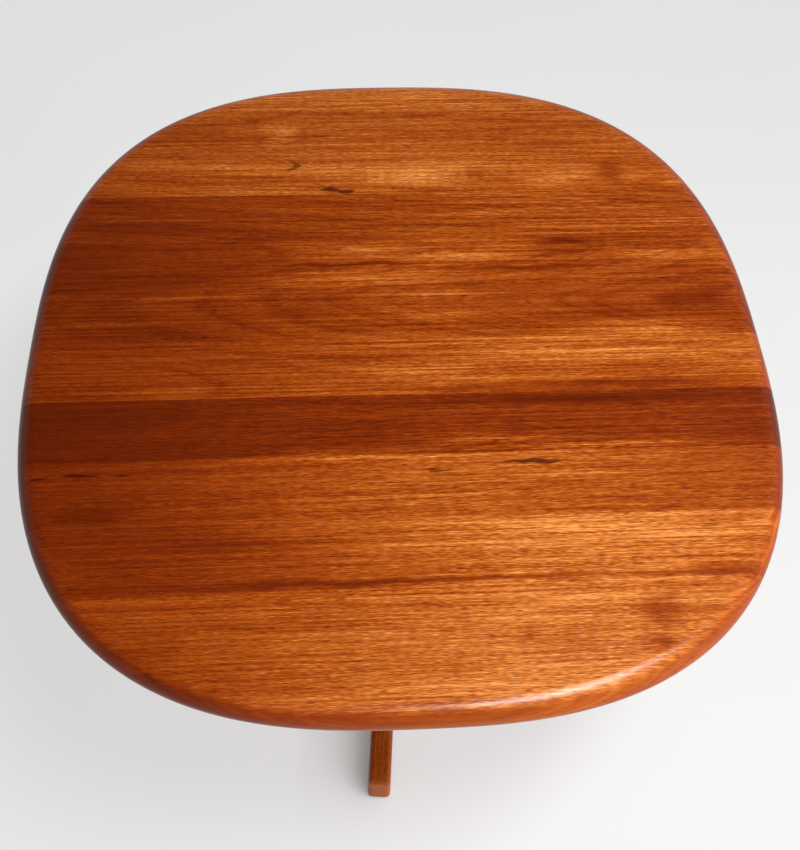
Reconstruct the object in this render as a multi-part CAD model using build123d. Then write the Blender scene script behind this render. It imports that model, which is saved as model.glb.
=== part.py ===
from build123d import *
import math
import os

# Pedestal coffee table in solid teak: an edge-glued top with a rounded-square outline and a soft
# rim, two half-lapped bearers under it, a square post and four sweeping feet on small glides.
# Millimetres. The origin is on the floor under the middle of the top, +X runs along the grain
# of the top, +Y runs across it to the back, and +Z is up.

# ---- Top
TOP_WIDTH = 800.0               # along the grain
TOP_DEPTH = 845.0               # across the grain
TABLE_HEIGHT = 510.0
TOP_THICKNESS = 28.0
OUTLINE_POWER = 2.69            # 2 is an ellipse, a higher power is squarer
OUTLINE_POINTS = 64
RIM_UPPER_INSET = 20.0          # from the widest line in to the flat top
RIM_UPPER_HEIGHT = 15.0         # from the widest line up to the flat top
RIM_LOWER_INSET = 11.0          # from the widest line in to the flat underside
RIM_STEPS = 6                   # loft sections in each half of the rim
BOARD_COUNT = 12
BOARD_WIDTH = 73.4              # the two outer boards are narrower where the outline cuts them

# ---- Bearers under the top
BEARER_WIDTH = 44.0
BEARER_HEIGHT = 34.0
BEARER_END_HEIGHT = 14.0        # left at each end by the curved taper underneath
BEARER_TAPER = 150.0            # length of that taper
BEARER_CORNER = 9.0             # plan radius of the end corners
ALONG_LENGTH = 580.0            # bearer along the grain
ACROSS_LENGTH = 620.0           # bearer across the grain

# ---- Screws that hold the top
SCREW_RADIUS = 2.25
SCREW_HEAD_RADIUS = 4.5
SCREW_HEAD_HEIGHT = 3.0
SCREW_BITE = 17.0               # length of screw inside the top
SCREW_SHOULDER = 15.0           # wood left above the counterbore
SCREW_POINT_RADIUS = 0.2
SCREW_SLOT_WIDTH = 1.2
SCREW_SLOT_DEPTH = 1.2
COUNTERBORE_RADIUS = 5.5
SLOT_TRAVEL = 4.0               # each way, so that the top can swell across the grain
ALONG_SCREWS_X = (115.0, 250.0)
ALONG_SCREW_STAGGER = 9.0       # keeps the screws off the middle glue line
ACROSS_SCREW_BOARDS = (1.5, 3.5)    # distance from the middle, in board widths

# ---- Post
POST_SIDE = 76.0
POST_CORNER = 12.0
POST_BOTTOM = 30.0
POST_END_ROUND = 4.0

# ---- Lag screw that holds the post to the bearers
LAG_RADIUS = 5.0
LAG_LENGTH = 90.0
LAG_TIP = 8.0
LAG_POINT_RADIUS = 0.5
LAG_HEAD_ACROSS_FLATS = 17.0
LAG_HEAD_HEIGHT = 6.4
WASHER_RADIUS = 13.0
WASHER_THICKNESS = 2.0
LAG_COUNTERBORE_RADIUS = 14.5
LAG_COUNTERBORE_DEPTH = 10.0
LAG_HOLE_SPARE = 4.0

# ---- Feet
FOOT_REACH = 359.0              # from the middle of the table to the tip on the floor
FOOT_THICKNESS = 29.0
FOOT_TIP_TOP = 33.0             # height of the level part near the tip
FOOT_TIP_LEAN = 10.0            # how far the sloping end runs back at its top
FOOT_LEVEL_FROM = 318.0         # the top is level from here out
FOOT_ARCH_FROM = 300.0          # the underside is level from here out
FOOT_ROOT_TOP = 132.0
FOOT_ROOT_BOTTOM = 40.0
FOOT_EDGE_ROUND = 6.0
BASE_TURN = -5.0                # degrees, base about Z against the grain of the top

# ---- Dowels between feet and post
DOWEL_RADIUS = 5.0
DOWEL_LENGTH = 50.0
DOWEL_HEIGHTS = (64.0, 94.0)
DOWEL_END_GAP = 1.0
DOWEL_CHAMFER = 1.0

# ---- Glides
GLIDE_RADIUS = 9.5
GLIDE_THICKNESS = 3.0
GLIDE_ROUND = 1.2
GLIDE_FROM_CENTRE = 333.0
NAIL_RADIUS = 1.2
NAIL_LENGTH = 14.0

# ---- Shared
ARRIS_ROUND = 2.0               # long lower edges of the bearers and the feet
CUT_SPARE = 1.0                 # how far a cutter runs past the face it opens

# ---- Worked out
TOP_UNDERSIDE = TABLE_HEIGHT - TOP_THICKNESS
BEARER_UNDERSIDE = TOP_UNDERSIDE - BEARER_HEIGHT
LAP_HEIGHT = TOP_UNDERSIDE - BEARER_HEIGHT / 2
RIM_WIDEST = TABLE_HEIGHT - RIM_UPPER_HEIGHT
LAG_SEAT = TOP_UNDERSIDE - LAG_COUNTERBORE_DEPTH
FOOT_ROOT = POST_SIDE / 2
FEET = {"front": -90.0, "right": 0.0, "back": 90.0, "left": 180.0}


def outline_point(angle, inset, height):
    """A point of the top's outline at this plan angle, moved inwards along the normal."""
    half_x = TOP_WIDTH / 2
    half_y = TOP_DEPTH / 2
    along, across = math.cos(angle), math.sin(angle)
    total = abs(along / half_x) ** OUTLINE_POWER + abs(across / half_y) ** OUTLINE_POWER
    reach = total ** (-1 / OUTLINE_POWER)
    x, y = reach * along, reach * across
    slope_x = math.copysign(abs(x / half_x) ** (OUTLINE_POWER - 1) / half_x, x)
    slope_y = math.copysign(abs(y / half_y) ** (OUTLINE_POWER - 1) / half_y, y)
    slope = math.hypot(slope_x, slope_y)
    return (x - inset * slope_x / slope, y - inset * slope_y / slope, height)


def outline_wire(inset, height):
    """One closed section of the top; it starts off the axes, clear of every glue line."""
    step = 2 * math.pi / OUTLINE_POINTS
    points = [outline_point((k + 0.5) * step, inset, height) for k in range(OUTLINE_POINTS)]
    return Wire([Spline(*points, periodic=True)])


def rim_sections():
    """Inset and height of each loft section, from the underside up round the rim to the top."""
    lower_height = TOP_THICKNESS - RIM_UPPER_HEIGHT
    sections = []
    for k in range(RIM_STEPS):
        turn = math.pi / 2 * (1 - k / RIM_STEPS)
        inset = RIM_LOWER_INSET * (1 - math.cos(turn))
        sections.append((inset, RIM_WIDEST - lower_height * math.sin(turn)))
    for k in range(RIM_STEPS + 1):
        turn = math.pi / 2 * k / RIM_STEPS
        inset = RIM_UPPER_INSET * (1 - math.cos(turn))
        sections.append((inset, RIM_WIDEST + RIM_UPPER_HEIGHT * math.sin(turn)))
    return sections


def whole_top():
    return Solid.make_loft([outline_wire(inset, height) for inset, height in rim_sections()])


def upright(radius, low, high, x=0.0, y=0.0):
    """A vertical cylinder between two heights."""
    return Pos(x, y, (low + high) / 2) * Cylinder(radius, high - low)


def screw_places():
    """Plan position of every screw in the top, the ones along the grain first."""
    places = []
    for side in (-1, 1):
        for index, x in enumerate(ALONG_SCREWS_X):
            stagger = ALONG_SCREW_STAGGER * side * (-1) ** index
            places.append((side * x, stagger, False))
        for boards in ACROSS_SCREW_BOARDS:
            places.append((0.0, side * boards * BOARD_WIDTH, True))
    return places


def top_boards():
    """The top sawn into its boards along the glue lines, with the screw holes drilled."""
    slab = whole_top()
    for x, y, _ in screw_places():
        slab -= upright(SCREW_RADIUS, TOP_UNDERSIDE - CUT_SPARE, TOP_UNDERSIDE + SCREW_BITE, x, y)
    boards = {}
    for index in range(BOARD_COUNT):
        middle = (index - BOARD_COUNT / 2 + 0.5) * BOARD_WIDTH
        cutter = Box(2 * TOP_WIDTH, BOARD_WIDTH, 4 * TOP_THICKNESS)
        board = slab & Pos(0, middle, TABLE_HEIGHT) * cutter
        boards[f"top_board_{index + 1:02d}"] = board
    return boards


def bearer_blank(length):
    """A bearer along X with curved tapers under its ends and rounded end corners."""
    end = length / 2
    inner = end - BEARER_TAPER
    rise = BEARER_HEIGHT - BEARER_END_HEIGHT
    radius = (BEARER_TAPER ** 2 + rise ** 2) / (2 * rise)
    middle = BEARER_TAPER / 2
    sag = radius - math.sqrt(radius ** 2 - middle ** 2)
    low, high = BEARER_UNDERSIDE, TOP_UNDERSIDE
    with BuildSketch(Plane.XZ) as side:
        with BuildLine():
            Line((-inner, low), (inner, low))
            ThreePointArc((inner, low), (inner + middle, low + sag), (end, low + rise))
            Line((end, low + rise), (end, high))
            Line((end, high), (-end, high))
            Line((-end, high), (-end, low + rise))
            ThreePointArc((-end, low + rise), (-inner - middle, low + sag), (-inner, low))
        make_face()
    blank = extrude(side.sketch, amount=BEARER_WIDTH / 2, both=True)
    ends = blank.edges().filter_by(Axis.Z)
    return fillet(ends, BEARER_CORNER)


def soften_underside(bearer):
    """Takes the arris off the long lower edges."""
    def is_long_lower(edge):
        low = edge.center().Z < TOP_UNDERSIDE - CUT_SPARE
        along = edge.bounding_box().size.X > BEARER_TAPER / 2
        return low and along
    return fillet(bearer.edges().filter_by(is_long_lower), ARRIS_ROUND)


def slotted_hole(radius, low, high, x, y):
    """A vertical slot that runs across the grain."""
    slot = Box(2 * radius, 2 * SLOT_TRAVEL, high - low)
    hole = Pos(x, y, (low + high) / 2) * slot
    for way in (-1, 1):
        hole += upright(radius, low, high, x, y + way * SLOT_TRAVEL)
    return hole


def drilled_for_screws(bearer, across):
    """Clearance holes and counterbores; on the bearer across the grain they are slots."""
    seat = TOP_UNDERSIDE - SCREW_SHOULDER
    low = BEARER_UNDERSIDE - CUT_SPARE
    high = TOP_UNDERSIDE + CUT_SPARE
    for x, y, slotted in screw_places():
        if slotted != across:
            continue
        if slotted:
            bearer -= slotted_hole(SCREW_RADIUS, low, high, x, y)
            bearer -= slotted_hole(COUNTERBORE_RADIUS, low, seat, x, y)
        else:
            bearer -= upright(SCREW_RADIUS, low, high, x, y)
            bearer -= upright(COUNTERBORE_RADIUS, low, seat, x, y)
    return bearer


def bearers():
    """The two bearers, half-lapped where they cross, with the lag screw's hole through both."""
    hole = upright(LAG_RADIUS, BEARER_UNDERSIDE - CUT_SPARE, TOP_UNDERSIDE + CUT_SPARE)
    hole += upright(LAG_COUNTERBORE_RADIUS, LAG_SEAT, TOP_UNDERSIDE + CUT_SPARE)
    notch = Box(BEARER_WIDTH, BEARER_WIDTH, BEARER_HEIGHT)
    upper_notch = Pos(0, 0, LAP_HEIGHT + BEARER_HEIGHT / 2) * notch
    lower_notch = Pos(0, 0, LAP_HEIGHT - BEARER_HEIGHT / 2) * notch
    along = soften_underside(bearer_blank(ALONG_LENGTH)) - lower_notch - hole
    across = soften_underside(bearer_blank(ACROSS_LENGTH))
    across = Rot(0, 0, 90) * across - upper_notch - hole
    return {
        "bearer_along_grain": drilled_for_screws(along, False),
        "bearer_across_grain": drilled_for_screws(across, True),
    }


def top_screw(x, y):
    """A pan-head wood screw pointing up, its head on the counterbore's seat."""
    seat = TOP_UNDERSIDE - SCREW_SHOULDER
    tip = TOP_UNDERSIDE + SCREW_BITE
    shank = upright(SCREW_RADIUS, seat, tip - 2 * SCREW_RADIUS, x, y)
    point = Pos(x, y, tip - SCREW_RADIUS) * Cone(SCREW_RADIUS, SCREW_POINT_RADIUS, 2 * SCREW_RADIUS)
    head = upright(SCREW_HEAD_RADIUS, seat - SCREW_HEAD_HEIGHT, seat, x, y)
    head = fillet(head.edges().sort_by(Axis.Z)[0], SCREW_HEAD_HEIGHT / 2)
    slot = Box(2 * SCREW_HEAD_RADIUS, SCREW_SLOT_WIDTH, 2 * SCREW_SLOT_DEPTH)
    return shank + point + head - Pos(x, y, seat - SCREW_HEAD_HEIGHT) * slot


def turned(shape, angle=0.0):
    """Turns a piece of the base about Z, by its own angle and by the base's turn."""
    return Rot(0, 0, angle + BASE_TURN) * shape


def foot_profile():
    """Side view of a foot in its own radial plane: a sweep down from the post to a level tip."""
    root = FOOT_ROOT
    run = FOOT_LEVEL_FROM - root
    drop = FOOT_ROOT_TOP - FOOT_TIP_TOP
    sweep = (run ** 2 + drop ** 2) / (2 * drop)
    arch_run = FOOT_ARCH_FROM - root
    arch_rise = FOOT_ROOT_BOTTOM - GLIDE_THICKNESS
    arch = (arch_run ** 2 + arch_rise ** 2) / (2 * arch_rise)
    sweep_middle = sweep - math.sqrt(sweep ** 2 - (run / 2) ** 2)
    arch_middle = arch - math.sqrt(arch ** 2 - (arch_run / 2) ** 2)
    with BuildSketch(Plane.XZ) as side:
        with BuildLine():
            ThreePointArc(
                (root, FOOT_ROOT_TOP),
                (root + run / 2, FOOT_TIP_TOP + sweep_middle),
                (FOOT_LEVEL_FROM, FOOT_TIP_TOP),
            )
            Line((FOOT_LEVEL_FROM, FOOT_TIP_TOP), (FOOT_REACH - FOOT_TIP_LEAN, FOOT_TIP_TOP))
            Line((FOOT_REACH - FOOT_TIP_LEAN, FOOT_TIP_TOP), (FOOT_REACH, GLIDE_THICKNESS))
            Line((FOOT_REACH, GLIDE_THICKNESS), (FOOT_ARCH_FROM, GLIDE_THICKNESS))
            ThreePointArc(
                (FOOT_ARCH_FROM, GLIDE_THICKNESS),
                (root + arch_run / 2, GLIDE_THICKNESS + arch_middle),
                (root, FOOT_ROOT_BOTTOM),
            )
            Line((root, FOOT_ROOT_BOTTOM), (root, FOOT_ROOT_TOP))
        make_face()
    return side.sketch


def foot_blank():
    """One foot along +X before it is turned, with its edges rounded and its holes drilled."""
    foot = extrude(foot_profile(), amount=FOOT_THICKNESS / 2, both=True)

    def is_upper(edge):
        past_root = edge.center().X > FOOT_ROOT + CUT_SPARE
        above = edge.center().Z > GLIDE_THICKNESS + CUT_SPARE
        long = edge.bounding_box().size.X > FOOT_REACH / 3
        lower_sweep = long and edge.center().Z < FOOT_TIP_TOP
        return past_root and above and not lower_sweep

    def is_lower(edge):
        past_root = edge.center().X > FOOT_ROOT + CUT_SPARE
        low = edge.center().Z < FOOT_TIP_TOP / 2
        along = edge.bounding_box().size.X > 2 * FOOT_TIP_LEAN
        return past_root and low and along

    foot = fillet(foot.edges().filter_by(is_upper), FOOT_EDGE_ROUND)
    foot = fillet(foot.edges().filter_by(is_lower), ARRIS_ROUND)
    hole_end = FOOT_ROOT + DOWEL_LENGTH / 2 + DOWEL_END_GAP
    for height in DOWEL_HEIGHTS:
        foot -= lying_cylinder(DOWEL_RADIUS, 0, hole_end, height)
    nail_top = GLIDE_THICKNESS + NAIL_LENGTH
    return foot - upright(NAIL_RADIUS, 0, nail_top, GLIDE_FROM_CENTRE)


def lying_cylinder(radius, start, end, height):
    """A cylinder along X between two distances from the middle."""
    return Pos((start + end) / 2, 0, height) * Rot(0, 90, 0) * Cylinder(radius, end - start)


def post():
    """The square post with its dowel holes and the pilot hole for the lag screw."""
    height = BEARER_UNDERSIDE - POST_BOTTOM
    body = Pos(0, 0, POST_BOTTOM + height / 2) * Box(POST_SIDE, POST_SIDE, height)
    body = fillet(body.edges().filter_by(Axis.Z), POST_CORNER)
    body = fillet(body.faces().sort_by(Axis.Z)[0].edges(), POST_END_ROUND)
    depth = DOWEL_LENGTH / 2 + DOWEL_END_GAP
    for angle in FEET.values():
        for level in DOWEL_HEIGHTS:
            hole = lying_cylinder(DOWEL_RADIUS, FOOT_ROOT - depth, POST_SIDE, level)
            body -= Rot(0, 0, angle) * hole
    body -= upright(LAG_RADIUS, LAG_SEAT - LAG_LENGTH - LAG_HOLE_SPARE, TABLE_HEIGHT)
    return turned(body)


def dowels():
    """All the dowels between the feet and the post."""
    group = []
    for angle in FEET.values():
        for level in DOWEL_HEIGHTS:
            start = FOOT_ROOT - DOWEL_LENGTH / 2
            dowel = lying_cylinder(DOWEL_RADIUS, start, start + DOWEL_LENGTH, level)
            dowel = chamfer(dowel.edges().filter_by(GeomType.CIRCLE), DOWEL_CHAMFER)
            group.append(turned(dowel, angle))
    return Compound(children=group)


def lag_screw():
    """A hexagon-head wood screw that pulls the post up to the bearers."""
    seat = LAG_SEAT + WASHER_THICKNESS
    tip = LAG_SEAT - LAG_LENGTH
    shank = upright(LAG_RADIUS, tip + LAG_TIP, seat)
    point = Pos(0, 0, tip + LAG_TIP / 2) * Cone(LAG_POINT_RADIUS, LAG_RADIUS, LAG_TIP)
    corner_radius = LAG_HEAD_ACROSS_FLATS / math.sqrt(3)
    head = extrude(RegularPolygon(corner_radius, 6), LAG_HEAD_HEIGHT)
    return shank + point + Pos(0, 0, seat) * head


def washer():
    disc = upright(WASHER_RADIUS, LAG_SEAT, LAG_SEAT + WASHER_THICKNESS)
    disc -= upright(LAG_RADIUS, LAG_SEAT - CUT_SPARE, TABLE_HEIGHT)
    return disc


def glide():
    """A nail-on glide: a round pad on the floor and the nail that holds it in the foot."""
    pad = upright(GLIDE_RADIUS, 0, GLIDE_THICKNESS, GLIDE_FROM_CENTRE)
    pad = fillet(pad.edges().sort_by(Axis.Z)[0], GLIDE_ROUND)
    nail_top = GLIDE_THICKNESS + NAIL_LENGTH - CUT_SPARE
    return pad + upright(NAIL_RADIUS, GLIDE_THICKNESS / 2, nail_top, GLIDE_FROM_CENTRE)


def build():
    pieces = {}
    pieces.update(top_boards())
    pieces.update(bearers())
    pieces["top_screws"] = Compound(children=[top_screw(x, y) for x, y, _ in screw_places()])
    pieces["lag_screw"] = lag_screw()
    pieces["lag_washer"] = washer()
    pieces["post"] = post()
    pieces["foot_dowels"] = dowels()
    foot = foot_blank()
    pad = glide()
    for name, angle in FEET.items():
        pieces[f"foot_{name}"] = turned(foot, angle)
        pieces[f"glide_{name}"] = turned(pad, angle)
    return pieces


os.makedirs("parts", exist_ok=True)
for node, shape in build().items():
    export_step(shape, f"parts/{node}.step")
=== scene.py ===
import math

import bpy
from mathutils import Matrix, Vector

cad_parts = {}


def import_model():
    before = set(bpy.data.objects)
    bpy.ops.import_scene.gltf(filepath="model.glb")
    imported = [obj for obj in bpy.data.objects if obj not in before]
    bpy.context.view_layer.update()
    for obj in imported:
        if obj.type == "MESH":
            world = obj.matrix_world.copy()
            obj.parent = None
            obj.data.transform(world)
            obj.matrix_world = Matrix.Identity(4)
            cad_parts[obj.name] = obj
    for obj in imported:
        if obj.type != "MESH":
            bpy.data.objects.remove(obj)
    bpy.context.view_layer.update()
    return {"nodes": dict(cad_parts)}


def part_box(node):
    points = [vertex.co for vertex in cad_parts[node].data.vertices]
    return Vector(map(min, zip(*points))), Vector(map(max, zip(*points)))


# A solid teak pedestal table on a pale studio floor. Every shape is the frame's own; this script
# gives the materials, the light and the camera. Metres: +X along the grain of the top, +Z up.

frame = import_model()

TOP_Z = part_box("top_board_07")[1].z
HALF_WIDTH = 0.4                        # of the top, along the grain
SIDES = ("front", "right", "back", "left")
WHITE = (1.0, 1.0, 1.0, 1.0)

# ---- Camera: its place over the floor, and how it is turned
CAMERA_PLACE = Vector((-0.055, -0.715, TOP_Z + 0.924))
CAMERA_YAW = math.radians(4.77)
CAMERA_DOWN = math.radians(56.76)
CAMERA_ROLL = math.radians(2.55)
CAMERA_LENS = 45.44

# ---- World: how bright it is away from the window, toward the window, and near the floor
WORLD_DARK = 0.02
WORLD_BRIGHT = 0.45
WORLD_LOW = 0.50
WINDOW_X = 0.9                          # the way to the window, in X and Y
WINDOW_Y = -0.25
WINDOW_EDGE = 0.7                       # how far that way the world is fully bright
LOW_BAND = (math.radians(22.0), math.radians(40.0))     # angles up where the low light fades

# ---- Lamps: place, target, width, height, watts, and whether they show in gloss. The window
# lamp doesn't, because it would cover the whole top with glare in the low views.
LAMPS = {
    "ceiling": ((0.56, -0.45, 2.30), (0.1, 0.0, 0.4), 0.95, 0.45, 37.5, True),
    "window": ((1.9, -1.3, 0.75), (0.0, -0.2, 0.2), 1.8, 1.0, 31.0, False),
}

# ---- Floor: a faint glow lifts it to a pale tone; less of it beside the feet, on the side away from the light, is a painted shadow
FLOOR_HALF = 60.0
FLOOR_TONES = ((0.3, (0.262, 0.261, 0.258)), (0.7, (0.280, 0.280, 0.278)))
FLOOR_HAZE = 1.6                        # features a metre
FLOOR_ROUGHNESS = 0.55
FLOOR_GLOSS = 0.15
# the lower glow is the painted shadow beside a foot
FLOOR_GLOW_AND_PAINTED_SHADOW = (0.10, 0.60)               # beside a foot, and in the open
PAINTED_SHADOW_OPENNESS = (0.25, 0.95)            # how open the floor is at those two glows
PAINTED_SHADOW_REACH = 0.10
PAINTED_SHADOW_LIGHT_SIDE = (0.76, -0.25, 0.60)         # the side that the light comes from

# ---- Wood colours
TONE_STOPS = (
    # tone, then the colour of the oiled wood there
    (0.00, (0.075, 0.0075, 0.0010)),
    (0.20, (0.155, 0.0165, 0.0014)),
    (0.40, (0.255, 0.0340, 0.0022)),
    (0.60, (0.370, 0.0680, 0.0050)),
    (0.80, (0.500, 0.1200, 0.0140)),
    (1.00, (0.680, 0.2100, 0.0380)),
    (1.25, (0.860, 0.3350, 0.0850)),
)
PORE_COLOUR = (0.050, 0.005, 0.0006)
MARK_COLOUR = (0.050, 0.0045, 0.001)
WOOD_GLOSS_TINT = (1.0, 0.84, 0.74, 1.0)

# ---- Growth rings: a rate is features a metre across them, an amount how far they move the tone
BAND_RATE = 95.0
FINE_RATE = 420.0
FINE_AMOUNT = 0.30
LINE_RATE = 210.0
LINE_START = 50.0                       # keeps the lines apart from the bands
LINE_WIDTH = 0.07
RING_WAVE = (3.2, 11.0)                 # features a metre along and across the grain
RING_RIPPLE = (16.0, 70.0)
RIPPLE_SIZE = 0.0016

# ---- How a seed moves a texture in X, Y and Z, in metres
SEED_WAY = (1.0, 0.37, 0.71)

# ---- Grain textures: features a metre along and across, shift of the seed, detail, roughness
MOTTLE = (7.0, 34.0, 0.0, 3.0, 0.6)
CLUMP = (22.0, 190.0, 9.0, 1.0, 0.5)
DASH = (66.0, 1450.0, 0.0, 1.0, 0.6)
FIBRE = (140.0, 2500.0, 7.0, 0.0, 0.5)
THREAD = (4.0, 400.0, 3.0, 2.0, 0.6)
MOTTLE_AMOUNT = 0.30
CLUMP_AMOUNT = 0.20
FIBRE_AMOUNT = 1.3

# ---- Pores: cells a metre along and across, shift of the seed, line width, share with a pore
SMALL_PORES = (95.0, 1000.0, 0.0, 0.40, 0.60)
LARGE_PORES = (60.0, 620.0, 5.0, 0.33, 0.45)
SMALL_PORE_DEPTH = 0.7                  # how dark a small pore is against a large one
PORE_CORE = 0.35                        # the part of the width that is fully dark
PORE_SHARE_SPREAD = 0.4
PORE_DRIFT = (9.0, 40.0)
PORE_DRIFT_SIZE = 0.004

# ---- Patches and marks: their outlines are drawn out and pushed about by this much
PATCH_DRIFT = (22.0, 75.0)
PATCH_DRIFT_SIZE = (0.05, 0.014, 0.0)
MARK_HARDNESS = 0.45

# ---- The rim: a level face is 1, an upright one 0; each value has changed fully to the rim's
# where the face is this level
GRAIN_FADES = 0.80
TONE_FADES = 0.80
GLOSS_FADES = 0.92
RIM_ROUGHER = 0.10

# ---- Gloss and relief of the wood
MOTTLE_ROUGHNESS = 0.10
PORE_ROUGHNESS = 0.12
DASH_RELIEF = 0.3
FINE_RELIEF = 0.15
WOOD_BUMP = (0.10, 0.0004)

# What a piece of teak is like, unless its own look says otherwise. Threads, dashes and pores say
# how strong each is; depth is how fast the grain changes downward, against across.
TEAK_LOOK = dict(
    threads=1.3, dashes=1.5, pores=0.48, depth=0.12, rim_grain=0.18, rim_tone=-0.14,
    end_grain=-0.10, rough=0.22, specular=0.30, patches=(), marks=(),
)

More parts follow.
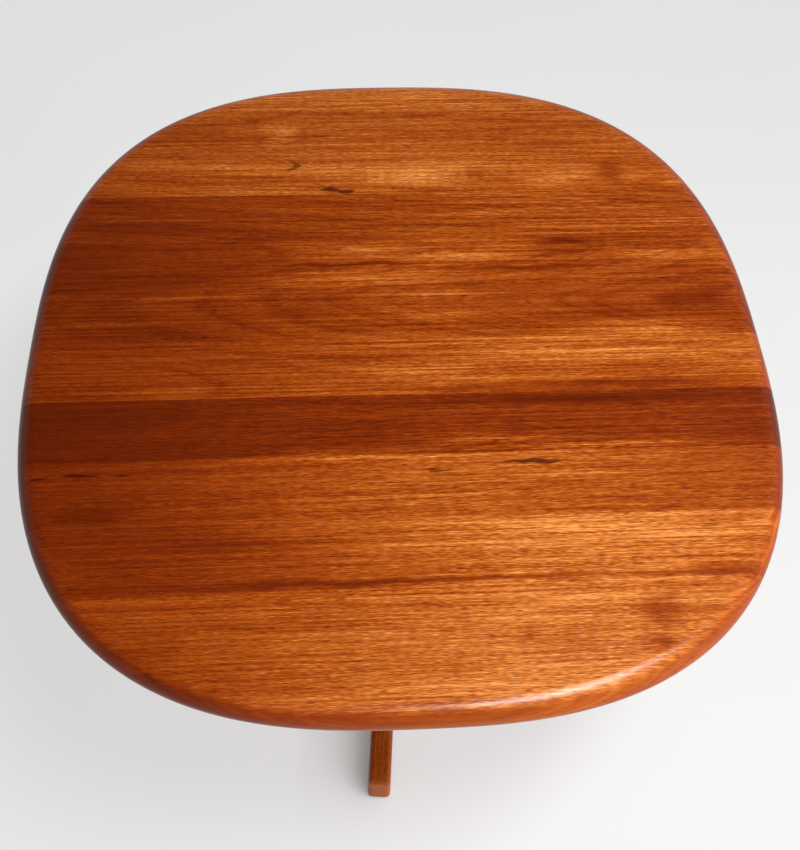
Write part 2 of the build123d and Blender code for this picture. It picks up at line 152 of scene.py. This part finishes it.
BOARD_LOOKS = {
    # Tones run from the left end to the right end: the wood's own tone together with painted
    # light, the left ends darker and the right ends lighter as the light falls from the right;
    # pith is the tree's middle, across and up.
    # Patches and marks are ovals: place along and across, half sizes, then how much they do.
    1: dict(
        tones=(0.40, 0.46, 0.82, 0.91, 0.78), pith=(-0.33, 0.36), taper=0.010, wander=0.008,
        bands=0.30, lines=0.10, seed=1.3, rim_tone=-0.24, dashes=1.3,
    ),
    2: dict(
        tones=(0.38, 0.48, 0.79, 0.86, 0.66), pith=(-0.36, 0.30), taper=0.004, wander=0.008,
        bands=0.25, lines=0.10, seed=4.7, rim_tone=-0.22, dashes=1.3,
        patches=(
            (0.232, -0.325, 0.028, 0.026, -0.32),
            (0.220, -0.356, 0.026, 0.014, -0.32),
            (-0.250, -0.345, 0.050, 0.020, -0.10),
        ),
    ),
    3: dict(
        tones=(0.28, 0.32, 0.72, 1.03, 0.56), pith=(-0.26, 0.22), taper=0.004, wander=0.008,
        bands=0.45, lines=0.16, seed=8.1, threads=1.6, dashes=1.1,
        patches=(
            (0.020, -0.287, 0.340, 0.007, -0.42),
            (0.280, -0.286, 0.100, 0.008, -0.36),
            (0.130, -0.232, 0.110, 0.011, 0.12),
            (0.360, -0.235, 0.040, 0.012, 0.14),
            (-0.190, -0.245, 0.110, 0.013, -0.10),
        ),
        marks=((0.295, -0.240, 0.010, 0.004, 0.22),),
    ),
    4: dict(
        tones=(0.20, 0.35, 0.74, 0.62, 0.45), pith=(-0.10, 0.33), taper=0.012, wander=0.010,
        bands=0.25, lines=0.10, seed=12.9,
        patches=(
            (-0.020, -0.151, 0.150, 0.004, 0.22),
            (-0.310, -0.208, 0.055, 0.018, -0.12),
            (0.150, -0.175, 0.140, 0.006, 0.08),
        ),
        marks=(
            (-0.368, -0.165, 0.010, 0.0016, 0.95),
            (-0.325, -0.164, 0.024, 0.0018, 0.95),
            (-0.285, -0.161, 0.016, 0.0014, 0.85),
            (0.120, -0.158, 0.034, 0.0024, 0.85),
            (0.140, -0.160, 0.016, 0.0018, 0.80),
            (0.028, -0.167, 0.018, 0.0014, 0.70),
        ),
    ),
    5: dict(
        tones=(0.10, 0.20, 0.34, 0.38, 0.24), pith=(-0.12, 0.28), taper=0.010, wander=0.010,
        bands=0.35, lines=0.12, seed=17.2, dashes=2.3, threads=2.0,
        patches=(
            (0.160, -0.084, 0.260, 0.013, -0.24),
            (0.080, -0.130, 0.120, 0.012, 0.18),
            (0.200, -0.142, 0.200, 0.014, 0.28),
            (-0.050, -0.144, 0.140, 0.008, 0.16),
        ),
    ),
    6: dict(
        tones=(0.34, 0.38, 0.72, 0.72, 0.66), pith=(-0.06, 0.40), taper=0.020, wander=0.012,
        bands=0.30, lines=0.14, seed=21.4, dashes=1.0, threads=1.9,
        patches=(
            (0.010, -0.040, 0.110, 0.018, 0.18),
            (0.240, -0.024, 0.180, 0.010, 0.14),
            (0.200, -0.065, 0.250, 0.013, -0.36),
            (0.060, -0.071, 0.100, 0.008, -0.22),
            (-0.260, -0.064, 0.130, 0.008, 0.10),
        ),
    ),
    7: dict(
        tones=(0.28, 0.33, 0.58, 0.44, 0.44), pith=(0.05, 0.40), taper=-0.060, wander=0.014,
        bands=0.55, lines=0.18, seed=26.6, dashes=1.1, threads=1.8,
        patches=(
            (-0.240, 0.062, 0.110, 0.005, 0.18),
            (-0.310, 0.028, 0.070, 0.005, 0.16),
            (0.050, 0.062, 0.100, 0.010, 0.24),
            (0.040, 0.030, 0.120, 0.006, 0.14),
            (0.308, 0.050, 0.034, 0.017, -0.20),
            (0.348, 0.052, 0.036, 0.017, -0.22),
            (0.270, 0.008, 0.150, 0.018, 0.30),
            (0.020, 0.004, 0.110, 0.008, 0.14),
            (0.200, 0.031, 0.090, 0.004, -0.16),
            (-0.130, 0.038, 0.100, 0.010, -0.12),
            (-0.040, 0.016, 0.090, 0.005, -0.12),
        ),
    ),
    8: dict(
        tones=(0.18, 0.30, 0.70, 0.48, 0.60), pith=(0.13, 0.40), taper=0.030, wander=0.014,
        bands=0.50, lines=0.18, seed=31.8, dashes=1.0, threads=1.8,
        patches=(
            (-0.030, 0.132, 0.130, 0.008, 0.22),
            (0.060, 0.119, 0.120, 0.008, 0.24),
            (0.300, 0.118, 0.080, 0.011, 0.30),
            (-0.050, 0.109, 0.140, 0.005, -0.34),
            (0.150, 0.100, 0.160, 0.005, -0.34),
            (0.200, 0.139, 0.060, 0.010, -0.36),
            (0.195, 0.124, 0.045, 0.006, -0.20),
            (-0.060, 0.086, 0.140, 0.008, 0.16),
            (0.330, 0.096, 0.070, 0.004, -0.22),
        ),
    ),
    9: dict(
        tones=(0.28, 0.36, 0.55, 0.62, 0.54), pith=(0.26, 0.41), taper=-0.060, wander=0.012,
        bands=0.40, lines=0.20, seed=35.5, dashes=1.0, threads=1.8,
        patches=(
            (-0.300, 0.163, 0.110, 0.016, -0.08),
            (0.200, 0.212, 0.110, 0.003, -0.22),
            (0.300, 0.201, 0.090, 0.003, -0.24),
            (0.340, 0.190, 0.060, 0.003, -0.22),
            (0.150, 0.190, 0.120, 0.008, 0.14),
            (0.000, 0.160, 0.160, 0.005, 0.10),
        ),
    ),
    10: dict(
        tones=(0.54, 0.62, 0.84, 0.67, 0.60), pith=(0.20, 0.38), taper=0.020, wander=0.014,
        bands=0.35, lines=0.16, seed=40.3, dashes=1.0, threads=1.1,
        patches=(
            (0.030, 0.248, 0.095, 0.022, 0.24),
            (0.200, 0.240, 0.070, 0.018, 0.26),
            (-0.110, 0.230, 0.100, 0.010, 0.10),
            (0.350, 0.232, 0.030, 0.014, 0.18),
            (0.102, 0.252, 0.018, 0.020, -0.14),
            (0.272, 0.254, 0.024, 0.030, -0.24),
        ),
        marks=(
            (-0.121, 0.268, 0.009, 0.013, 0.65),
            (-0.079, 0.228, 0.013, 0.0060, 0.85),
            (-0.064, 0.224, 0.013, 0.0050, 0.80),
        ),
    ),
    11: dict(
        tones=(0.54, 0.62, 0.68, 0.64, 0.68), pith=(0.36, 0.40), taper=0.010, wander=0.010,
        bands=0.25, lines=0.12, seed=44.9, dashes=0.9, threads=1.2,
        patches=(
            (-0.235, 0.330, 0.100, 0.034, -0.12),
            (-0.134, 0.325, 0.032, 0.032, 0.26),
            (0.020, 0.356, 0.110, 0.006, -0.22),
            (0.160, 0.346, 0.090, 0.006, -0.22),
            (0.200, 0.300, 0.060, 0.018, -0.14),
        ),
        marks=((-0.168, 0.352, 0.012, 0.010, 0.25), (0.020, 0.302, 0.004, 0.004, 0.60)),
    ),
    12: dict(
        tones=(0.62, 0.70, 0.78, 0.72, 0.66), pith=(0.46, 0.36), taper=0.010, wander=0.008,
        bands=0.25, lines=0.10, seed=49.1, dashes=1.0,
    ),
}

# The base is plainer than the top, and turned against it
BASE_LOOK = dict(
    tones=(0.60, 0.65, 0.62, 0.65), taper=0.01, wander=0.016, bands=0.20, lines=0.06,
    end_grain=-0.06, rough=0.30, rim_tone=0.0, specular=0.50,
    rim_grain=1.0, dashes=0.5, threads=0.6, pores=0.28, depth=1.0,
)
BASE_TURN = math.radians(-5.0)
BASE_SEED = 60.0
BASE_SEED_STEP = 7.3
QUARTER = math.pi / 2

# Steel, plastic and beech: cloud and relief are features a metre along and across, and detail;
# rough is the lowest roughness and how much the cloud adds; bump is its strength and height.
HARDWARE = {
    "zinc_steel": dict(
        nodes=("top_screws", "lag_screw", "lag_washer"), metallic=1.0,
        tones=((0.3, (0.42, 0.42, 0.40)), (0.7, (0.66, 0.65, 0.61))),
        cloud=(220.0, 220.0, 3.0), relief=(900.0, 2600.0, 2.0),
        rough=(0.26, 0.16), bump=(0.15, 0.0001),
    ),
    "glide_plastic": dict(
        nodes=tuple(f"glide_{side}" for side in SIDES), metallic=0.0,
        tones=((0.3, (0.050, 0.028, 0.018)), (0.7, (0.085, 0.048, 0.030))),
        cloud=(160.0, 160.0, 3.0), relief=(3500.0, 3500.0, 1.0),
        rough=(0.42, 0.15), bump=(0.2, 0.0001),
    ),
    "beech_dowel": dict(
        nodes=("foot_dowels",), metallic=0.0,
        tones=((0.35, (0.40, 0.23, 0.11)), (0.65, (0.60, 0.40, 0.22))),
        cloud=(90.0, 700.0, 3.0), relief=(90.0, 700.0, 3.0),
        rough=(0.55, 0.1), bump=(0.2, 0.0002),
    ),
}


class Tree:
    """Builds the nodes of a material or a world; an input may be a number, tuple or socket."""

    def __init__(self, node_tree):
        self.tree = node_tree

    def put(self, socket, value):
        if isinstance(value, bpy.types.NodeSocket):
            self.tree.links.new(value, socket)
        else:
            socket.default_value = value

    def set(self, **inputs):
        """Sets inputs of the surface shader, named in lower case with underscores."""
        shader = self.tree.nodes["Principled BSDF"]
        for name, value in inputs.items():
            title = name.replace("_", " ").title().replace("Ior", "IOR")
            self.put(shader.inputs[title], value)

    def node(self, kind, **settings):
        made = self.tree.nodes.new(kind)
        for name, value in settings.items():
            setattr(made, name, value)
        return made

    def filled(self, kind, inputs, **settings):
        """A node with the inputs of these names filled in."""
        made = self.node(kind, **settings)
        for name, value in inputs.items():
            self.put(made.inputs[name], value)
        return made

    def place(self):
        return self.node("ShaderNodeTexCoord").outputs["Object"]

    def facing(self, axis):
        """How squarely the surface faces along an axis, from 0 to 1."""
        normal = self.node("ShaderNodeTexCoord").outputs["Normal"]
        return self.math("ABSOLUTE", self.split(normal)[axis])

    def math(self, operation, *values, clamp=False):
        made = self.node("ShaderNodeMath", operation=operation, use_clamp=clamp)
        for socket, value in zip(made.inputs, values):
            self.put(socket, value)
        return made.outputs[0]

    def add(self, *values):
        total = values[0]
        for value in values[1:]:
            total = self.math("ADD", total, value)
        return total

    def times(self, a, b):
        return self.math("MULTIPLY", a, b)

    def swing(self, value, amount):
        """A texture's value from 0 to 1, turned into a change of up to half amount each way."""
        return self.math("MULTIPLY_ADD", value, amount, -amount / 2)

    def vector(self, operation, a, b):
        made = self.node("ShaderNodeVectorMath", operation=operation)
        self.put(made.inputs[0], a)
        self.put(made.inputs[1], b)
        return made.outputs[0]

    def length(self, a):
        made = self.node("ShaderNodeVectorMath", operation="LENGTH")
        self.put(made.inputs[0], a)
        return made.outputs["Value"]

    def split(self, vector):
        made = self.node("ShaderNodeSeparateXYZ")
        self.put(made.inputs[0], vector)
        return made.outputs

    def join(self, x, y, z):
        made = self.node("ShaderNodeCombineXYZ")
        for socket, value in zip(made.inputs, (x, y, z)):
            self.put(socket, value)
        return made.outputs[0]

    def noise(self, vector, detail=2.0, roughness=0.5):
        inputs = {"Vector": vector, "Scale": 1.0, "Detail": detail, "Roughness": roughness}
        return self.filled("ShaderNodeTexNoise", inputs).outputs["Fac"]

    def noise_vector(self, vector, detail=2.0):
        """Noise in three directions, from about -0.5 to 0.5 each way."""
        inputs = {"Vector": vector, "Scale": 1.0, "Detail": detail}
        colour = self.filled("ShaderNodeTexNoise", inputs).outputs["Color"]
        return self.vector("SUBTRACT", colour, (0.5, 0.5, 0.5))

    def noise_line(self, value, detail=0.0):
        """Noise along one number, such as a distance across growth rings."""
        inputs = {"W": value, "Scale": 1.0, "Detail": detail, "Roughness": 0.5}
        made = self.filled("ShaderNodeTexNoise", inputs, noise_dimensions="1D")
        return made.outputs["Fac"]

    def cells(self, vector):
        """Distance to the nearest cell centre, and a random number for that cell."""
        inputs = {"Vector": vector, "Scale": 1.0, "Randomness": 1.0}
        made = self.filled("ShaderNodeTexVoronoi", inputs)
        return made.outputs["Distance"], self.split(made.outputs["Color"])[0]

    def fade(self, value, start, end, low=0.0, high=1.0):
        """Smoothly from low at start to high at end, and level outside."""
        made = self.node("ShaderNodeMapRange", interpolation_type="SMOOTHSTEP")
        for socket, number in zip(made.inputs, (value, start, end, low, high)):
            self.put(socket, number)
        return made.outputs[0]

    def ramp(self, value, stops, interpolation="LINEAR"):
        made = self.node("ShaderNodeValToRGB")
        made.color_ramp.interpolation = interpolation
        elements = made.color_ramp.elements
        while len(elements) < len(stops):
            elements.new(0.5)
        for element, (position, colour) in zip(elements, stops):
            element.position = position
            element.color = (*colour, 1.0)
        self.put(made.inputs[0], value)
        return made.outputs[0]

    def blend(self, amount, a, b):
        """From colour a to colour b; the mix node is found by identifier, as names repeat."""
        made = self.node("ShaderNodeMix", data_type="RGBA")
        sockets = {socket.identifier: socket for socket in (*made.inputs, *made.outputs)}
        for name, value in (("Factor_Float", amount), ("A_Color", a), ("B_Color", b)):
            if isinstance(value, tuple):
                value = (*value, 1.0)
            self.put(sockets[name], value)
        return sockets["Result_Color"]

    def painted_shadow_openness(self, reach, toward):
        """1 where nothing within reach stands in the way of light from that side, down to 0; it
        sets where the floor's glow drops to a painted shadow.
        """
        inputs = {"Distance": reach, "Normal": self.join(*toward)}
        made = self.filled("ShaderNodeAmbientOcclusion", inputs, samples=4)
        return made.outputs["AO"]

    def bump(self, height, strength, distance):
        inputs = {"Strength": strength, "Distance": distance, "Height": height}
        return self.filled("ShaderNodeBump", inputs).outputs[0]

    def patch(self, place, x, y, half_x, half_y, hardness=0.0):
        """1 in the middle of an oval on the top and 0 outside it; hardness sharpens its edge."""
        inputs = {"Vector": place, "Location": (x, y, TOP_Z), "Scale": (half_x, half_y, 1.0)}
        made = self.filled("ShaderNodeMapping", inputs, vector_type="TEXTURE")
        return self.fade(self.length(made.outputs[0]), 1.0, hardness)


def surface(name):
    material = bpy.data.materials.new(name)
    material.use_nodes = True
    return material, Tree(material.node_tree)


def dress(obj, material):
    obj.data.materials.clear()
    obj.data.materials.append(material)


def stretched(tree, place, along, across, offset=0.0, depth=1.0):
    """Coordinates for a texture of that many features a metre along and across the grain.

    A depth under 1 makes it change less from the top down, so it runs smoothly over a round edge.
    """
    moved = tree.vector("ADD", place, tuple(offset * way for way in SEED_WAY))
    return tree.vector("MULTIPLY", moved, (along, across, across * depth))


def texture(tree, place, seed, kind, depth=1.0):
    along, across, shift, detail, roughness = kind
    coordinates = stretched(tree, place, along, across, seed + shift, depth)
    return tree.noise(coordinates, detail, roughness)


def growth(tree, place, look):
    """Distance from the pith, in metres, with the slow wander that gives arches and waves."""
    x, y, z = tree.split(place)
    pith_y, pith_z = look["pith"]
    away_y = tree.math("SUBTRACT", y, pith_y)
    away_z = tree.math("SUBTRACT", z, pith_z)
    distance = tree.length(tree.join(0.0, away_y, away_z))
    slant = tree.times(x, look["taper"])
    wave = tree.noise(stretched(tree, place, *RING_WAVE, look["seed"]), 2.0)
    ripple = tree.noise(stretched(tree, place, *RING_RIPPLE, look["seed"]), 1.0)
    wander = tree.swing(wave, look["wander"])
    return tree.add(distance, slant, wander, tree.swing(ripple, RIPPLE_SIZE))


def pores(tree, place, seed, kind, depth):
    """Short dark vessel lines."""
    along, across, shift, width, share = kind
    seed = seed + shift
    drift = tree.noise(stretched(tree, place, *PORE_DRIFT, seed), 1.0)
    x, y, z = tree.split(place)
    moved = tree.join(x, tree.add(y, tree.swing(drift, PORE_DRIFT_SIZE)), z)
    distance, chance = tree.cells(stretched(tree, moved, along, across, seed, depth))
    line = tree.fade(distance, width, PORE_CORE * width)
    return tree.times(line, tree.fade(chance, 1.0 - share, 1.0 - PORE_SHARE_SPREAD * share))


def tone_along(tree, place, tones):
    """The tone from the left end of the top to the right end; on the top it holds painted light
    as well as the wood's own tone, darker to the left and lighter to the right.
    """
    x = tree.split(place)[0]
    along = tree.math("MULTIPLY_ADD", x, 0.5 / HALF_WIDTH, 0.5, clamp=True)
    steps = len(tones) - 1
    stops = [(k / steps, (tone, tone, tone)) for k, tone in enumerate(tones)]
    return tree.ramp(along, stops, "B_SPLINE")


def teak(name, look):
    """Oiled teak with its grain along local X; look says what one piece is like."""
    material, tree = surface(name)
    look = {**TEAK_LOOK, **look}
    seed, depth = look["seed"], look["depth"]
    place = look["place"](tree) if "place" in look else tree.place()
    face = tree.facing(2)
    end_face = tree.facing(0)
    flat = tree.fade(face, GRAIN_FADES, 1.0, look["rim_grain"], 1.0)

    rings = growth(tree, place, look)
    broad = tree.noise_line(tree.times(rings, BAND_RATE), 1.0)
    fine = tree.noise_line(tree.times(rings, FINE_RATE), 1.0)
    level = tree.noise_line(tree.add(tree.times(rings, LINE_RATE), LINE_START + seed))
    off_level = tree.math("ABSOLUTE", tree.math("SUBTRACT", level, 0.5))
    late_wood = tree.fade(off_level, LINE_WIDTH, 0.0)
    mottle = texture(tree, place, seed, MOTTLE)
    dash = texture(tree, place, seed, DASH, depth)
    grain = tree.add(
        tree.swing(texture(tree, place, seed, CLUMP, depth), CLUMP_AMOUNT),
        tree.swing(texture(tree, place, seed, THREAD, depth), look["threads"]),
        tree.swing(dash, look["dashes"]),
        tree.swing(texture(tree, place, seed, FIBRE, depth), FIBRE_AMOUNT),
    )
    figure = tree.add(
        1.0,
        tree.swing(broad, look["bands"]),
        tree.swing(fine, FINE_AMOUNT),
        tree.swing(mottle, MOTTLE_AMOUNT),
        tree.times(late_wood, -look["lines"]),
        tree.times(grain, flat),
    )

    drift = tree.noise_vector(stretched(tree, place, *PATCH_DRIFT, seed), 2.0)
    drifted = tree.vector("ADD", place, tree.vector("MULTIPLY", drift, PATCH_DRIFT_SIZE))
    # the tone along the top carries painted light: darker at the left ends, lighter at the right
    tone = tone_along(tree, place, look["tones"])
    for *oval, change in look["patches"]:
        tone = tree.add(tone, tree.times(tree.patch(drifted, *oval), change))
    tone = tree.add(
        tree.times(tone, figure),
        tree.times(tree.fade(face, 1.0, TONE_FADES), look["rim_tone"]),
        tree.times(tree.math("POWER", end_face, 2.0), look["end_grain"]),
    )
    brightest = TONE_STOPS[-1][0]
    colour = tree.ramp(
        tree.math("DIVIDE", tree.math("MAXIMUM", tone, 0.0), brightest),
        [(stop / brightest, wood) for stop, wood in TONE_STOPS],
    )

    small = tree.times(pores(tree, place, seed, SMALL_PORES, depth), SMALL_PORE_DEPTH)
    large = pores(tree, place, seed, LARGE_PORES, depth)
    pore = tree.times(tree.math("MAXIMUM", small, large), flat)
    colour = tree.blend(tree.times(pore, look["pores"]), colour, PORE_COLOUR)
    for *oval, darkness in look["marks"]:
        mark = tree.patch(drifted, *oval, MARK_HARDNESS)
        colour = tree.blend(tree.times(mark, darkness), colour, MARK_COLOUR)

    rough = tree.add(
        look["rough"],
        tree.swing(mottle, MOTTLE_ROUGHNESS),
        tree.times(pore, PORE_ROUGHNESS),
        tree.fade(face, 1.0, GLOSS_FADES, 0.0, RIM_ROUGHER),
    )
    relief = tree.add(
        tree.times(pore, -1.0), tree.times(dash, DASH_RELIEF), tree.times(fine, FINE_RELIEF)
    )
    tree.set(
        base_color=colour,
        roughness=rough,
        specular_ior_level=look["specular"],
        specular_tint=WOOD_GLOSS_TINT,
        normal=tree.bump(relief, *WOOD_BUMP),
    )
    return material


def dress_top():
    for number, look in BOARD_LOOKS.items():
        node = f"top_board_{number:02d}"
        dress(frame["nodes"][node], teak(node, look))


def turned_place(angle, tilt=0.0):
    """Coordinates whose X runs along a piece that lies at this angle about Z, or stands up."""
    def make(tree):
        inputs = {"Vector": tree.place(), "Rotation": (0.0, tilt, angle)}
        return tree.filled("ShaderNodeMapping", inputs, vector_type="TEXTURE").outputs[0]
    return make


def dress_base():
    # where each piece's grain runs, and the middle of its tree, across and up
    pieces = {
        "post": (turned_place(0.0, tilt=QUARTER), (0.05, 0.06)),
        "bearer_along_grain": (turned_place(0.0), (0.05, 0.40)),
        "bearer_across_grain": (turned_place(QUARTER), (0.06, 0.38)),
    }
    for k, side in enumerate(SIDES):
        angle = BASE_TURN + (k - 1) * QUARTER
        pieces[f"foot_{side}"] = (turned_place(angle), (0.04, -0.05))
    for k, (node, (place, pith)) in enumerate(pieces.items()):
        seed = BASE_SEED + BASE_SEED_STEP * k
        look = dict(BASE_LOOK, place=place, pith=pith, seed=seed)
        dress(frame["nodes"][node], teak(node, look))


def plain_material(name):
    """A material of HARDWARE: cloudy in tone and gloss, with fine relief."""
    look = HARDWARE[name]
    material, tree = surface(name)
    place = tree.place()
    along, across, detail = look["cloud"]
    cloud = tree.noise(stretched(tree, place, along, across), detail)
    along, across, detail = look["relief"]
    relief = tree.noise(stretched(tree, place, along, across), detail)
    smoothest, change = look["rough"]
    tree.set(
        base_color=tree.ramp(cloud, look["tones"]),
        metallic=look["metallic"],
        roughness=tree.add(smoothest, tree.times(cloud, change)),
        normal=tree.bump(relief, *look["bump"]),
    )
    return material


def dress_hardware():
    for name, look in HARDWARE.items():
        material = plain_material(name)
        for node in look["nodes"]:
            dress(frame["nodes"][node], material)


def floor():
    material, tree = surface("floor")
    haze = tree.noise(stretched(tree, tree.place(), FLOOR_HAZE, FLOOR_HAZE), 3.0)
    # less glow beside the feet, on the side away from the light: a painted shadow on the floor
    painted_shadow_openness = tree.painted_shadow_openness(PAINTED_SHADOW_REACH, PAINTED_SHADOW_LIGHT_SIDE)
    tree.set(
        base_color=tree.ramp(haze, FLOOR_TONES),
        roughness=FLOOR_ROUGHNESS,
        specular_ior_level=FLOOR_GLOSS,
        emission_color=WHITE,
        emission_strength=tree.fade(painted_shadow_openness, *PAINTED_SHADOW_OPENNESS, *FLOOR_GLOW_AND_PAINTED_SHADOW),
    )
    half = FLOOR_HALF
    corners = [(-half, -half, 0), (half, -half, 0), (half, half, 0), (-half, half, 0)]
    mesh = bpy.data.meshes.new("floor")
    mesh.from_pydata(corners, [], [(0, 1, 2, 3)])
    made = bpy.data.objects.new("floor", mesh)
    bpy.context.scene.collection.objects.link(made)
    dress(made, material)


def world():
    made = bpy.data.worlds.new("studio")
    bpy.context.scene.world = made
    made.use_nodes = True
    tree = Tree(made.node_tree)
    x, y, z = tree.split(tree.node("ShaderNodeTexCoord").outputs["Generated"])
    toward_window = tree.add(tree.times(x, WINDOW_X), tree.times(y, WINDOW_Y))
    bright = tree.fade(toward_window, 0.0, WINDOW_EDGE, WORLD_DARK, WORLD_BRIGHT)
    band_start, band_end = (math.sin(height) for height in LOW_BAND)
    low = tree.fade(z, band_start, band_end, WORLD_LOW, 0.0)
    background = made.node_tree.nodes["Background"]
    tree.put(background.inputs["Color"], WHITE)
    tree.put(background.inputs["Strength"], tree.math("MAXIMUM", bright, low))


def lamps():
    for name, (place, target, width, height, power, glossy) in LAMPS.items():
        data = bpy.data.lights.new(name, "AREA")
        data.shape = "ELLIPSE"
        data.size = width
        data.size_y = height
        data.energy = power
        lamp = bpy.data.objects.new(name, data)
        bpy.context.scene.collection.objects.link(lamp)
        lamp.location = place
        toward = Vector(target) - Vector(place)
        lamp.rotation_euler = toward.to_track_quat("-Z", "Y").to_euler()
        lamp.visible_camera = False
        lamp.visible_glossy = glossy


def camera():
    data = bpy.data.cameras.new("camera")
    data.lens = CAMERA_LENS
    made = bpy.data.objects.new("camera", data)
    bpy.context.scene.collection.objects.link(made)
    turn = (
        Matrix.Rotation(-CAMERA_YAW, 4, "Z")
        @ Matrix.Rotation(QUARTER - CAMERA_DOWN, 4, "X")
        @ Matrix.Rotation(CAMERA_ROLL, 4, "Z")
    )
    made.matrix_world = Matrix.Translation(CAMERA_PLACE) @ turn
    bpy.context.scene.camera = made


dress_top()
dress_base()
dress_hardware()
floor()
world()
lamps()
camera()
bpy.context.scene.view_settings.view_transform = "Standard"
